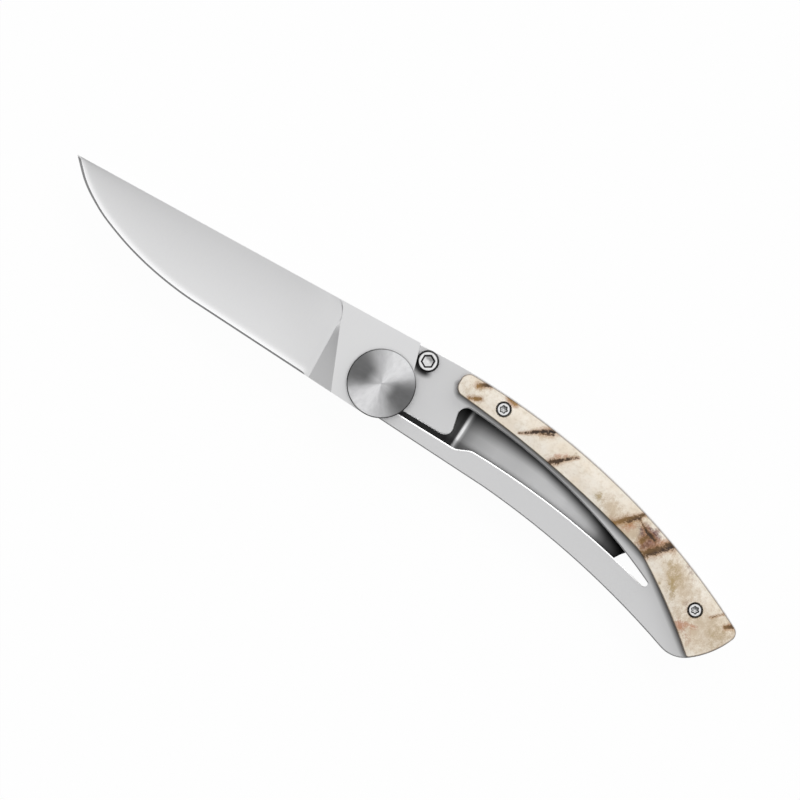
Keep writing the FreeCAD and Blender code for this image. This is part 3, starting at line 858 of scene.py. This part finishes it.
def ragged_group():
    """A mark's painted depth roughened by fibres and by fine specks, as a mask that grows from low to high
    and only where the depth itself is over its foot."""
    group, given, end = new_group("ragged_mark", dict.fromkeys(ragged_terms, "Float"), {"Mask": "Float"})
    fibres = (noise(group, edge_fibres, detail=4.0) - 0.5) * given["Fibres"]
    specks = (noise(group, edge_specks, detail=2.0) - 0.5) * given["Specks"]
    mask = (given["Depth"] + fibres + specks).step(given["Low"], given["High"])
    feed(end, {"Mask": mask * (given["Depth"] - given["Foot"]).step(0.0, foot_rise)})
    return group


ragged_mark = ragged_group()


def polished_horn():
    """Cream horn, clouded and speckled, stained in four hues and flecked, with ragged grooves, and
    painted shade in brown along its rim; glossy but for the grooves."""
    material, tree, shader = new_material("polished_horn")

    def ragged(depth, edge):
        return grouped(tree, ragged_mark, dict(zip(ragged_terms, (attribute(tree, depth), *edge))))[0]

    fibre = noise(tree, horn_fibres, detail=5.0)
    colour = mixed(noise(tree, horn_clouds, detail=3.0).step(*cloud_step), pale_horn, cream_horn)
    colour = mixed(fibre.step(*fibre_step), colour, fibre_tan)
    specks = noise(tree, horn_specks, detail=2.0).step(*speck_step)
    colour = mixed(specks * speck_share, colour, speck_tan)
    for name, (hue, strength) in horn_hues.items():
        colour = mixed(ragged(name, stain_edge) * strength, colour, hue)
    flecks = noise(tree, horn_flecks, detail=2.0).step(*fleck_step)
    flecks = flecks * attribute(tree, "plum").step(*flecked_plum)
    colour = mixed(flecks * fleck_share, colour, fleck_plum)
    streak, fringe, core = (ragged("streak", edge) for edge in (streak_edge, fringe_edge, core_edge))
    dark = attribute(tree, "streak_dark")
    colour = mixed(fringe * fringe_share, colour, fringe_brown)
    colour = mixed(streak * ink_share, colour, mixed(dark, faint_ink, full_ink))
    colour = mixed(core * dark, colour, core_black)
    # Painted shade: brown along the horn's rim.
    colour = mixed(attribute(tree, "rim") * rim_shade_share, colour, rim_shade_brown)
    terms = {
        "Base Color": colour,
        "Roughness": streak * groove_roughness + horn_roughness + fibre * fibre_roughness,
        "Normal": bumped(fibre - streak * groove_relief, horn_relief * mm),
    }
    feed(shader, terms)
    return material


horn_piece = made("horn_slab", [horn_slab()], polished_horn(), "horn")
wide_bore = (counterbore, counterbore_floor, horn_front + cutter_spare)
thin_bore = (scale_hole, plate_front - cutter_spare, counterbore_floor + counterbore_lap)
for bore in (wide_bore, thin_bore):
    drilled(horn_piece, [(centre(name), *bore) for name in scale_screws])
softened(horn_piece, horn_turn)
horn_places = places(horn_piece)[:, :2]
streak_depth, streak_dark = streak_fields(horn_places)
# Paints the shade along the horn's rim.
painted(horn_piece, "rim", 1 - eased(edge_distance(horn_places, horn_plan), *rim_shade_band))
painted(horn_piece, "streak", streak_depth)
painted(horn_piece, "streak_dark", streak_dark)
for stain, blots in horn_stains.items():
    painted(horn_piece, stain, stain_field(horn_places, blots))
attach(horn_piece, "handle")
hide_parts("horn_scale")

# Screws and the detent ball.
# Turned stainless, polished: the stop screw with its hexagon socket, the scale's two screws and the
# clip's two with six-lobed sockets, and the ball that holds the closed blade.
bright_tone = (0.74, 0.74, 0.74)
screw_sides = 96
screw_crisp = math.radians(25.0)
stop_flats = 3.0
stop_lean = math.radians(28.77)
stop_socket_depth = 1.7
stop_rim = 0.46
stop_shank = 1.5
scale_star = 0.86
scale_star_wave = 0.12
scale_socket_depth = 0.8
scale_rim = 0.26
scale_shank = 1.0
socket_dish = 0.12
dish_middle = (0.4, 0.6)
floor_ring = (0.74, 0.77, 0.80)
socket_lip = (0.06, 0.10)
lip_drop = 0.01
rim_ease = 0.04
rim_middle = (0.4, 0.3)
sunk_level = 0.005
wall_reach = 0.07
wall_shade = 0.02
rim_shade = 0.04
floor_loss = 0.5
floor_fade = (-0.15, 0.55)


def dress(material, *names):
    """Gives CAD nodes a finish in their own material slots."""
    for name in names:
        nodes[name].material_slots[0].material = material


def lathe(profile, sides, about=(0.0, 0.0)):
    """A profile of radius and height carried round an upright axis; a radius may change with the angle."""
    turn = np.linspace(0.0, 2 * math.pi, sides, endpoint=False)
    radius = np.stack([np.broadcast_to(reach, sides) for reach, _ in profile])
    level = np.repeat([[height] for _, height in profile], sides, axis=1)
    rings = np.stack((about[0] + radius * np.cos(turn), about[1] + radius * np.sin(turn), level), axis=-1)
    return stacked(rings, capped=False)


def screw(name, socket, depth, rim, head_foot, shank):
    """A screw in place of a CAD node: a broken rim, a flat ring, a socket with a dished floor, and a shank.
    Its socket's wall and its rim carry painted shade, and the floor's painted shade deepens towards the
    picture's upper side."""
    low, high = (np.array(corner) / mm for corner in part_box(name))
    top, head = high[2], (high - low)[0] / 2
    floor = top - depth
    profile = [
        (0.0, floor - socket_dish), (socket * dish_middle[0], floor - socket_dish * dish_middle[1]),
        (socket * floor_ring[0], floor), (socket * floor_ring[2], floor), (socket, floor),
        (socket, top - socket_lip[0]), (socket + socket_lip[0], top - lip_drop),
        (socket + socket_lip[1], top), (head - rim - rim_ease, top), (head - rim, top - lip_drop),
        (head - rim * rim_middle[0], top - rim * rim_middle[1]), (head, top - rim),
        (head, head_foot), (shank, head_foot), (shank, low[2]), (0.0, low[2]),
    ]
    piece = made(name + "_turned", [lathe(profile, screw_sides, centre(name))], screw_steel, "bright_steel")
    softened(piece, screw_crisp)
    points = places(piece)
    arm = points[:, :2] - centre(name)
    reach = np.linalg.norm(arm, axis=1)
    across = np.interp(np.arctan2(arm[:, 1], arm[:, 0]), screw_turn, socket, period=2 * math.pi)
    sunk = points[:, 2] < top - sunk_level
    # Painted shade on the rim and the socket's wall, and on the floor towards the picture's upper side.
    shade = np.where(sunk, rim_shade, 1.0)
    shade = np.where(sunk & (reach < across + wall_reach), wall_shade, shade)
    on_floor = sunk & (reach < across * floor_ring[1])
    floor_shade = 1.0 - floor_loss * eased(arm @ picture_up / across, *floor_fade)
    painted(piece, "screw_shade", np.where(on_floor, floor_shade, shade))
    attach(piece, "handle")
    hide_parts(name)


screw_turn = np.linspace(0.0, 2 * math.pi, screw_sides, endpoint=False)
hexagon = stop_flats / 2 / np.cos((screw_turn - stop_lean) % (math.pi / 3) - math.pi / 6)
star = scale_star + scale_star_wave * np.cos(6 * screw_turn)
screw_steel = steel(
    "screw_steel", bright_tone, roughness=0.22, shade=lambda tree: attribute(tree, "screw_shade")
)
screw("stop_screw", hexagon, stop_socket_depth, stop_rim, plate_front, stop_shank)
for name in scale_screws:
    screw(name, star, scale_socket_depth, scale_rim, counterbore_floor, scale_shank)
bright_steel = steel("bright_steel", bright_tone, roughness=0.24)
dress(bright_steel, "detent_ball", *clip_screws)

# Washers and bush.
# Phosphor bronze rings that the blade turns on, cut from sheet and bar. They lie on the pivot's post,
# hidden under the disc.
bronze_tone = (0.55, 0.33, 0.14)
bearing_bronze = steel("bearing_bronze", bronze_tone, roughness=0.35, contrast=0.10, relief=0.001)
dress(bearing_bronze, "front_washer", "rear_washer", "pivot_bush")

# Blade.
# Stainless bar, hollow ground from the spine to a fine edge, with a slanting plunge facet where the
# grind ends at the flat root. The edge is whetted to a narrow bevel under a buffed band. The band's
# tone is raised as a painted highlight, and the facet's as painted light.
blade_middle = 6.23
blade_half = 1.3
spine = 13.3
tip_x = -92.3
heel_slope = math.tan(math.radians(4.43))
tang_radius = 8.54
belly_x = np.array((-92.3, -88.0, -82.0, -74.0, -66.0, -58.0, -50.0))
belly_y = np.array((13.3, 8.75, 4.50, 0.76, -1.88, -3.65, -4.69))
tip_slope = -1.04
plunge_x = -16.4
plunge_foot_x = -9.8
plunge_apex_y = 9.4
plunge_round = 6.0
plunge_round_centre = (-22.4, 8.3)
plunge_step = 0.30
bevel_width = 0.45
bevel_run_in = 0.9
bevel_end_x = -19.0
tip_bevel_share = 0.35
tip_bevel_run = 14.0
bevel_start_half = 0.22
edge_half = 0.04
flank_slope = 0.0515
flank_hollow = 0.20
hollow_run = (-3.0, 14.0)
lock_face_x = 2.6
waist_radius = 5.0
waist_bearing = math.radians(20.0)
shoulder_lean = math.radians(15.0)
shoulder_foot_y = 6.2
shoulder_reach = 2.8
blade_rows = 40
flank_columns = 150
tip_bunching = 1.35
facet_columns = 8
root_columns = 90
tang_steps = 24
waist_steps = 12
blade_bore = 3.13
bore_height = 4.0
dimple_place = (-5.47, 5.14)
dimple_radius = 0.8
dimple_depth = 0.45
blade_crisp = math.radians(8.0)
flat_facing = 0.999
slope_step = 0.05
buffed_width = 2.3
blade_tone = (0.805, 0.805, 0.81)
flank_share = 1.105
facet_painted_light = 1.12
band_painted_highlight = 1.215
buffed_polish = 1.2
ground_across = (9000.0, 400.0, 9000.0)


def edge_height(x):
    """The edge's height at x: straight to the belly, then a cubic curve through the belly's points to
    the tip."""
    slopes = np.gradient(belly_y, belly_x)
    slopes[0], slopes[-1] = tip_slope, -heel_slope
    cell = np.clip(np.searchsorted(belly_x, x, side="right") - 1, 0, len(belly_x) - 2)
    width = belly_x[cell + 1] - belly_x[cell]
    t = np.clip((x - belly_x[cell]) / width, 0.0, 1.0)
    rise = belly_y[cell + 1] - belly_y[cell]
    bend = (1 - t) * (slopes[cell] * width - rise) + t * (rise - slopes[cell + 1] * width)
    belly = belly_y[cell] + t * rise + t * (1 - t) * bend
    straight = belly_y[-1] - heel_slope * (x - belly_x[-1])
    return np.where(x < belly_x[-1], belly, straight)


def coons(low, high, near, far):
    """A grid between four chains that share corners: the two ruled surfaces less the one through the
    corners."""
    u = np.linspace(0.0, 1.0, len(low))[:, None, None]
    v = np.linspace(0.0, 1.0, len(near))[None, :, None]
    ruled = low[:, None] * (1 - v) + high[:, None] * v + near[None] * (1 - u) + far[None] * u
    corners = (low[0] * (1 - u) + low[-1] * u) * (1 - v) + (high[0] * (1 - u) + high[-1] * u) * v
    return ruled - corners


def plunge_line(y):
    """Where the ground flank ends at a height: upright, then rounded over towards the spine."""
    x0, y0 = plunge_round_centre
    return x0 + np.sqrt(plunge_round ** 2 - np.maximum(y - y0, 0.0) ** 2)


def arc(radius, start, end, count):
    """Points on a circle about the pivot, from one bearing to another."""
    turn = np.linspace(start, end, count)
    return radius * np.c_[np.cos(turn), np.sin(turn)]


def ground_blade():
    """Four patches side by side: the whetted bevel, the hollow flank, the plunge facet and the flat root."""
    rows = np.linspace(0.0, 1.0, blade_rows)
    reach = np.linspace(0.0, 1.0, flank_columns) ** tip_bunching
    edge_x = tip_x + (plunge_x - tip_x) * reach
    edge = np.c_[edge_x, edge_height(edge_x)]
    slope = np.gradient(edge[:, 1], edge[:, 0])
    inward = np.c_[-slope, np.ones_like(slope)] / np.hypot(slope, 1.0)[:, None]
    width = bevel_width * (1 + tip_bevel_share * (1 - eased(edge_x, tip_x, tip_x + tip_bevel_run)))
    width = width * eased(edge_x, tip_x, tip_x + bevel_run_in) * (1 - eased(edge_x, bevel_end_x, plunge_x))
    shoulder = edge + inward * width[:, None]
    rise = edge[-1, 1] + (spine - edge[-1, 1]) * rows
    inner = np.c_[plunge_line(rise), rise]
    spine_line = np.c_[tip_x + (inner[-1, 0] - tip_x) * reach, np.full_like(reach, spine)]
    flank = coons(shoulder, spine_line, np.repeat(edge[:1], blade_rows, axis=0), inner)

    foot = edge_height(plunge_foot_x)
    rise = foot + (spine - foot) * rows
    slant = plunge_foot_x + (plunge_x - plunge_foot_x) * (rise - foot) / (plunge_apex_y - foot)
    outer = np.c_[np.maximum(slant, plunge_line(rise) + plunge_step), rise]
    step = np.linspace(0.0, 1.0, facet_columns)[:, None]
    below, above = (inner[end] + (outer[end] - inner[end]) * step for end in (0, -1))
    facet = coons(below, above, inner, outer)

    heel = -math.pi / 2 - math.atan(heel_slope)
    tang = arc(tang_radius, heel, -math.acos(lock_face_x / tang_radius), tang_steps)
    waist = arc(waist_radius, -math.acos(lock_face_x / waist_radius), 0.0, waist_steps)
    under = np.concatenate((outer[:1], tang, waist))
    stop_x, stop_y = centre("stop_screw")
    touch_x = stop_x - shoulder_reach * math.cos(shoulder_lean)
    touch_y = stop_y - shoulder_reach * math.sin(shoulder_lean)
    behind = np.array(
        [
            (waist_radius, 0.0),
            (waist_radius * math.cos(waist_bearing), waist_radius * math.sin(waist_bearing)),
            (touch_x - (shoulder_foot_y - touch_y) * math.tan(shoulder_lean), shoulder_foot_y),
            (touch_x - (spine - touch_y) * math.tan(shoulder_lean), spine),
        ]
    )
    run = np.linspace(0.0, 1.0, root_columns)
    back = along_chain(behind, rows)
    top = outer[-1] + (back[-1] - outer[-1]) * run[:, None]
    root = coons(along_chain(under, run), top, outer, back)

    tall = (spine - shoulder[:, 1])[:, None]
    hollow = 4 * flank_hollow * rows * (1 - rows) * tall / tall[-1]
    hollow = hollow * eased(plunge_x - flank[..., 0], *hollow_run)
    flank_half = bevel_start_half + flank_slope * tall * rows - hollow
    facet_half = flank_half[-1] + (blade_half - flank_half[-1]) * step
    root_half = np.full(root.shape[:2], blade_half)
    bevel = np.stack((edge, shoulder), axis=1)
    bevel_half = np.c_[np.full(len(edge), edge_half), flank_half[:, 0]]
    bevel_half[-1, 0] = flank_half[-1, 0]
    patches = [
        (bevel, bevel_half, ("low",)),
        (flank, flank_half, ("high",)),
        (facet, facet_half, ("low", "high")),
        (root, root_half, ("low", "high", "far")),
    ]
    return [slab(plan, blade_middle + half, blade_middle - half, sides) for plan, half, sides in patches]


def edge_band(x, y):
    """1 at the top of the bevel, fading to 0 half way down it and over the buffed width above it, and gone
    at the plunge. The distance is taken square to the edge."""
    slope = (edge_height(x + slope_step) - edge_height(x - slope_step)) / slope_step / 2
    gap = (y - edge_height(x)) / np.hypot(1.0, slope)
    band = eased(gap, bevel_width / 2, bevel_width) * (1 - eased(gap, bevel_width, buffed_width))
    return band * (1 - eased(x, bevel_end_x, plunge_x))


# The ground steel's tone carries a painted highlight on the buffed band and painted light on the plunge
# facet.
ground_steel = steel(
    "ground_steel",
    blade_tone,
    roughness=0.36,
    grain=ground_across,
    relief=0.0006,
    shade=lambda tree: attribute(tree, "ground_tone_and_light") * attribute(tree, "buffed_and_highlight"),
    polish=lambda tree: (attribute(tree, "buffed_and_highlight") - 1.0) * buffed_polish,
)
blade_piece = made("ground_blade", ground_blade(), ground_steel, "blade_steel")
blade_back = blade_middle - blade_half
pivot_bore = ((0.0, 0.0), blade_bore, blade_back - cutter_spare, blade_back + bore_height)
detent_dimple = (dimple_place, dimple_radius, blade_back - cutter_spare, blade_back + dimple_depth)
drilled(blade_piece, [pivot_bore, detent_dimple])
softened(blade_piece, blade_crisp)
blade_x, blade_y, _ = places(blade_piece).T
# Painted highlight: the buffed band's tone is raised above the flank's; its roughness is lowered too.
painted(blade_piece, "buffed_and_highlight", 1.0 + (band_painted_highlight / flank_share - 1.0) * edge_band(blade_x, blade_y))
blade_faces = blade_piece.data.polygons
face_x, face_y, _ = read_out(blade_faces, "center").T / mm
on_flank = face_x < plunge_line(np.minimum(face_y, spine))
tilted = np.abs(read_out(blade_faces, "normal")[:, 2]) < flat_facing
# Painted light: the plunge facet's tone is raised.
face_share = np.where(tilted & (face_x < plunge_foot_x), facet_painted_light, 1.0)
painted(blade_piece, "ground_tone_and_light", np.where(on_flank, flank_share, face_share), "FACE")
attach(blade_piece, "blade")
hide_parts("blade")

# Pivot disc and nut.
# A flat-headed pivot turned from bar, its face left with the fine rings of the lathe tool, and the
# round nut that holds it from behind.
disc_profile = [
    (0.0, 9.85), (4.0, 9.85), (8.2, 9.86), (8.33, 9.85), (8.44, 9.79), (8.5, 9.66), (8.5, 7.86),
    (2.2, 7.86), (2.2, 0.8), (0.0, 0.8),
]
disc_sides = 160
disc_crisp = math.radians(30.0)
disc_tone = (0.86, 0.86, 0.87)
disc_stretch = 0.95
lobe_turn = math.radians(172.0)
lobe_spread = (0.62, 1.0)
lobe_reach = (0.5 * mm, 4.5 * mm)
lobe_loss = 0.72
chatter_spokes = (3.0,) * 3
chatter_grain = (500.0,) * 3
chatter_swing = 0.30
rim_reach = (8.15 * mm, 8.40 * mm)
rim_loss = 0.88
rim_upper_share = 0.84
rim_lower_fade = (-0.7, 0.4)


def disc_painted_shade(tree):
    """Painted shade: two dim lobes across the disc, where the tool's rings turn away from the light,
    deepening outwards, and a dark rim, darkest on the picture's lower side; faint spokes of chatter."""
    flat = plan_arm(tree)
    bearing, reach = flat.vector("NORMALIZE"), flat.vector("LENGTH")
    across = bearing.vector("DOT_PRODUCT", (math.cos(lobe_turn), math.sin(lobe_turn), 0.0))
    lobes = across.number("ABSOLUTE").step(*lobe_spread) * reach.step(*lobe_reach)
    spokes = bearing.vector("MULTIPLY", chatter_spokes).vector("ADD", flat.vector("MULTIPLY", chatter_grain))
    chatter = (noise_at(spokes, detail=3.0) - 0.5) * chatter_swing + 1.0
    up = bearing.vector("DOT_PRODUCT", (*picture_up, 0.0))
    lower = (up * -1.0).step(*rim_lower_fade) * (1.0 - rim_upper_share) + rim_upper_share
    rim = 1.0 - reach.step(*rim_reach) * lower * rim_loss
    return (1.0 - lobes * lobe_loss) * chatter * rim


def turned_steel():
    """Lathe rings about the pivot: a metal that is rough outwards and smooth around."""
    material = steel("turned_steel", disc_tone, roughness=0.50, shade=disc_painted_shade)
    tree = material.node_tree
    outwards = plan_arm(tree).vector("NORMALIZE")
    feed(tree.nodes["Principled BSDF"], {"Tangent": outwards, "Anisotropic": disc_stretch})
    return material


ringed_steel = turned_steel()
disc = made("turned_disc", [lathe(disc_profile, disc_sides)], ringed_steel, "turned_steel")
softened(disc, disc_crisp)
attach(disc, "handle")
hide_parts("pivot_disc")
dress(ringed_steel, "pivot_nut")

# Table top.
# A wide white sheet of paper, laid flat under the knife. It shows white and keeps the knife's faint
# shadow.
sheet_half = 4.0
sheet_level = -0.02 * mm
paper_white = (0.9, 0.9, 0.9, 1.0)
glow_share = 0.96


def mixed_shader(tree, share, first, second):
    """Two shaders mixed by a share."""
    node = tree.nodes.new("ShaderNodeMixShader")
    for socket, term in zip(node.inputs, (share, first, second)):
        set_term(socket, term)
    return Value(node.outputs[0])


def white_sheet():
    """White to the eye and to reflections, a plain pale surface to all other light, and clear from below."""
    material, tree, shader = new_material("white_sheet")
    tree.nodes.remove(shader)
    paper = tree.nodes.new("ShaderNodeBsdfDiffuse")
    feed(paper, {"Color": paper_white})
    glow, clear = (tree.nodes.new(kind) for kind in ("ShaderNodeEmission", "ShaderNodeBsdfTransparent"))
    path = tree.nodes.new("ShaderNodeLightPath").outputs
    seen, *others = (Value(path[f"Is {kind} Ray"]) for kind in ("Camera", "Glossy", "Transmission"))
    for other in others:
        seen = seen.number("MAXIMUM", other)
    paper, glow, clear = (Value(node.outputs[0]) for node in (paper, glow, clear))
    front = mixed_shader(tree, seen * glow_share, paper, glow)
    below = Value(tree.nodes.new("ShaderNodeNewGeometry").outputs["Backfacing"])
    feed(tree.nodes["Material Output"], {"Surface": mixed_shader(tree, below, front, clear)})
    return material


corners = np.array([(-1, -1), (1, -1), (1, 1), (-1, 1)]) * sheet_half
table = bpy.data.meshes.new("table_top")
table.from_pydata([(x, y, sheet_level) for x, y in corners], [], [(0, 1, 2, 3)])
table.materials.append(white_sheet())
table_top = bpy.data.objects.new("table_top", table)
bpy.context.collection.objects.link(table_top)

# Camera.
# A long lens straight above, turned so that the knife lies slantwise as in the photograph.
pixel = 0.245 * mm
frame_pixels = 800
pivot_pixel = (381.4, 383.5)
lie_angle = math.radians(28.77)
lens = 200.0
sensor = 36.0
sharp_level = 6.5 * mm
right = np.array((math.cos(lie_angle), math.sin(lie_angle)))
above = np.array((-math.sin(lie_angle), math.cos(lie_angle)))
middle = frame_pixels / 2
aim = pixel * (right * (middle - pivot_pixel[0]) - above * (middle - pivot_pixel[1]))
camera_data = bpy.data.cameras.new("camera")
camera_data.lens = lens
camera_data.sensor_width = sensor
camera = bpy.data.objects.new("camera", camera_data)
camera.location = (*aim, sharp_level + frame_pixels * pixel * lens / sensor)
camera.rotation_euler = (0, 0, lie_angle)
bpy.context.collection.objects.link(camera)
bpy.context.scene.camera = camera

# Light.
# A long soft box overhead that runs from the upper right of the picture to the lower left, a broad
# bright box low at its upper right end, and a dimmer one on either side, in a grey room.
box_turn = math.radians(73.8)
box_along = (math.cos(box_turn), math.sin(box_turn), 0.0)
box_across = (-math.sin(box_turn), math.cos(box_turn), 0.0)
room_level = 0.14
strip_level = 3.0
key_level = 2.75
side_level = 0.95
strip_along = [
    (-1.0, 0.02), (-0.5, 0.03), (-0.3, 0.08), (-0.16, 0.22), (-0.04, 0.38), (0.08, 0.38),
    (0.22, 0.26), (0.4, 0.18), (0.65, 0.35), (0.88, 0.5), (1.0, 0.1),
]
strip_across = [(0.0, 1.0), (0.1, 1.0), (0.25, 0.7), (0.45, 0.2), (0.75, 0.05), (1.0, 0.02)]
key_along = [(-1.0, 0.0), (0.55, 0.0), (0.76, 1.0), (0.88, 1.0), (0.95, 0.2), (1.0, 0.0)]
key_across = (0.45, 0.8)
side_across = (0.5, 0.8)
side_up = (0.12, 0.40)


def curve(value, points):
    """A level read off straight lines between points that run from -1 to 1."""
    ramp = value.tree.nodes.new("ShaderNodeFloatCurve")
    knots = ramp.mapping.curves[0].points
    while len(knots) < len(points):
        knots.new(0.5, 0.5)
    for knot, (reach, level) in zip(knots, points):
        knot.location = ((reach + 1) / 2, level)
        knot.handle_type = "VECTOR"
    ramp.mapping.update()
    feed(ramp, {"Value": value * 0.5 + 0.5})
    return Value(ramp.outputs[0])


def soft_box_sky():
    """The room's light by direction: a strip that fades along and across, a broad box at one end, and one
    on either side; plain white to the eye."""
    world = bpy.data.worlds.new("studio")
    bpy.context.scene.world = world
    world.use_nodes = True
    tree = world.node_tree
    ray = Value(tree.nodes.new("ShaderNodeTexCoord").outputs["Generated"])
    along = ray.vector("DOT_PRODUCT", box_along)
    across = ray.vector("DOT_PRODUCT", box_across).number("ABSOLUTE")
    up = ray.vector("DOT_PRODUCT", (0.0, 0.0, 1.0))
    strip = curve(along, strip_along) * curve(across, strip_across)
    key = curve(along, key_along) * (1.0 - across.step(*key_across))
    sides = across.step(*side_across) * up.step(*side_up)
    level = strip * strip_level + room_level + key * key_level + sides * side_level
    shown = tree.nodes.new("ShaderNodeMix")
    eye = Value(tree.nodes.new("ShaderNodeLightPath").outputs["Is Camera Ray"])
    feed(shown, {"Factor": eye, "A": level, "B": 1.0})
    feed(tree.nodes["Background"], {"Color": (1.0,) * 4, "Strength": Value(shown.outputs["Result"])})


soft_box_sky()
bpy.context.scene.view_settings.view_transform = "Standard"
